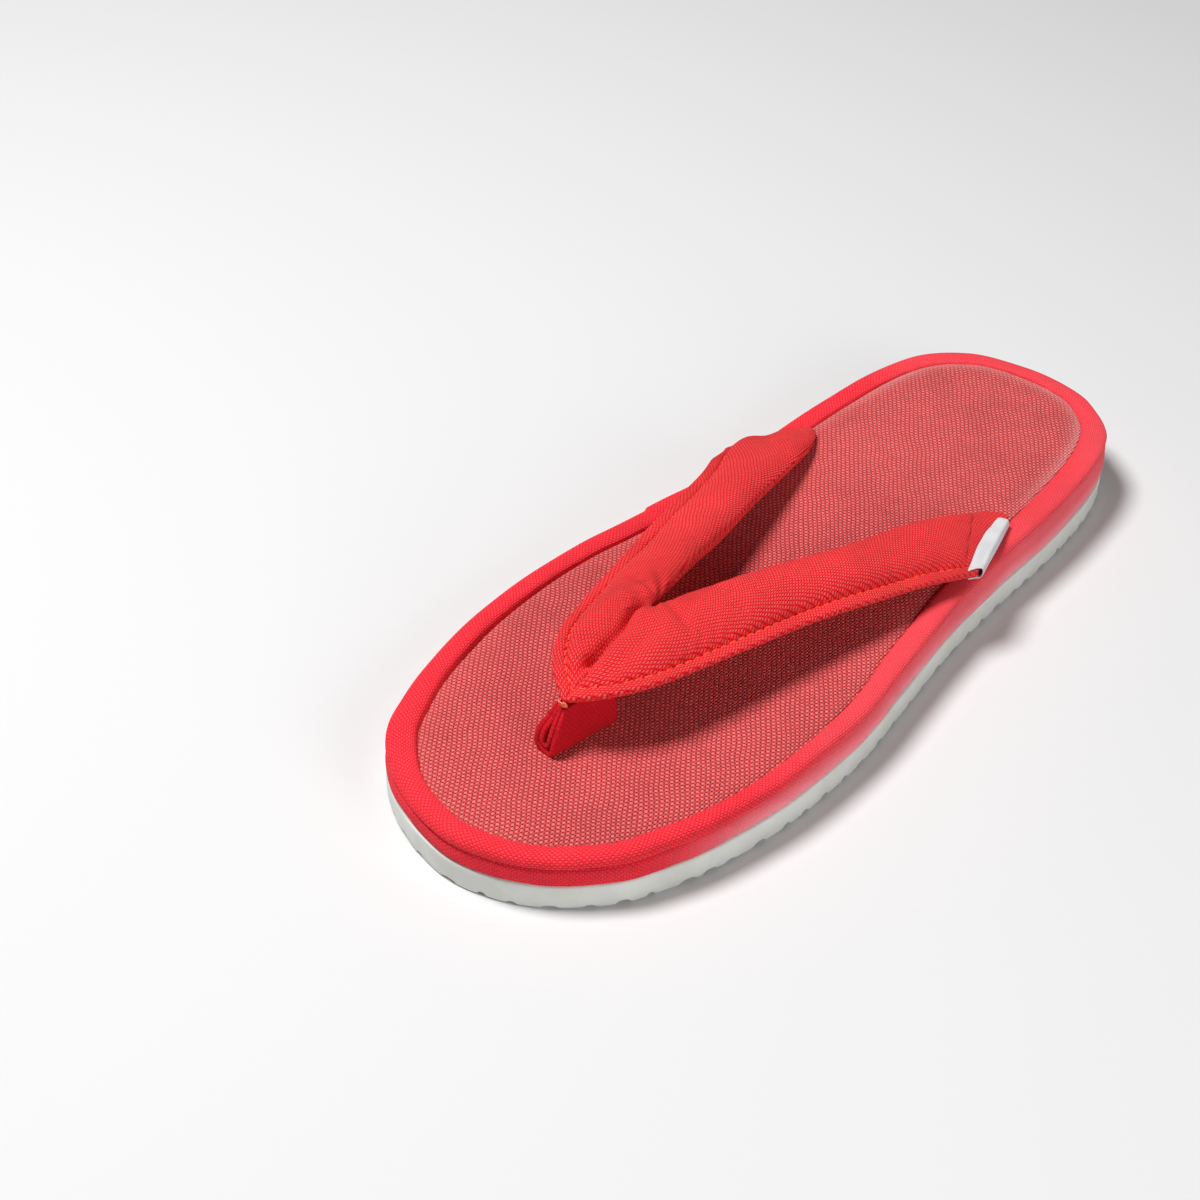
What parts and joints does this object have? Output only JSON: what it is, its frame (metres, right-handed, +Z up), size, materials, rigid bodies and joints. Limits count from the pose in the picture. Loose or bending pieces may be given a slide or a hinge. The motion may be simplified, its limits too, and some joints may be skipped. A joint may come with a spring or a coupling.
{
  "type": "zori sandal",
  "caption": "Flat zori sandal for the left foot: low wedge sole, woven insole inside a raised cloth binding, and two padded straps joined in a V over a folded toe post.",
  "frame": {"origin": "on the ground, midway between the heel and the toe, on the centre line of the footbed", "axes": "+Y towards the toe, +X towards the wearer's right (the medial side of this left shoe), +Z up"},
  "size_m": [0.0964, 0.2456, 0.0359],
  "materials": {
    "outsole_foam": "smooth light grey closed foam, matt",
    "side_cloth": "plain weave cotton over foam, dull",
    "binding_cloth": "plain weave cotton, rolled round a core",
    "insole_cloth": "coarse plain weave, dull",
    "strap_cloth": "fine plain weave cotton, padded",
    "post_cloth": "plain weave cotton, folded in layers",
    "label_ribbon": "plain white woven ribbon, left blank"
  },
  "bodies": {
    "root": {"outsole": "outsole_foam", "midsole": "side_cloth", "edge_binding": "binding_cloth", "insole": "insole_cloth", "upper_straps": "strap_cloth", "toe_post": "post_cloth", "side_label": "label_ribbon"}
  },
  "joints": []
}
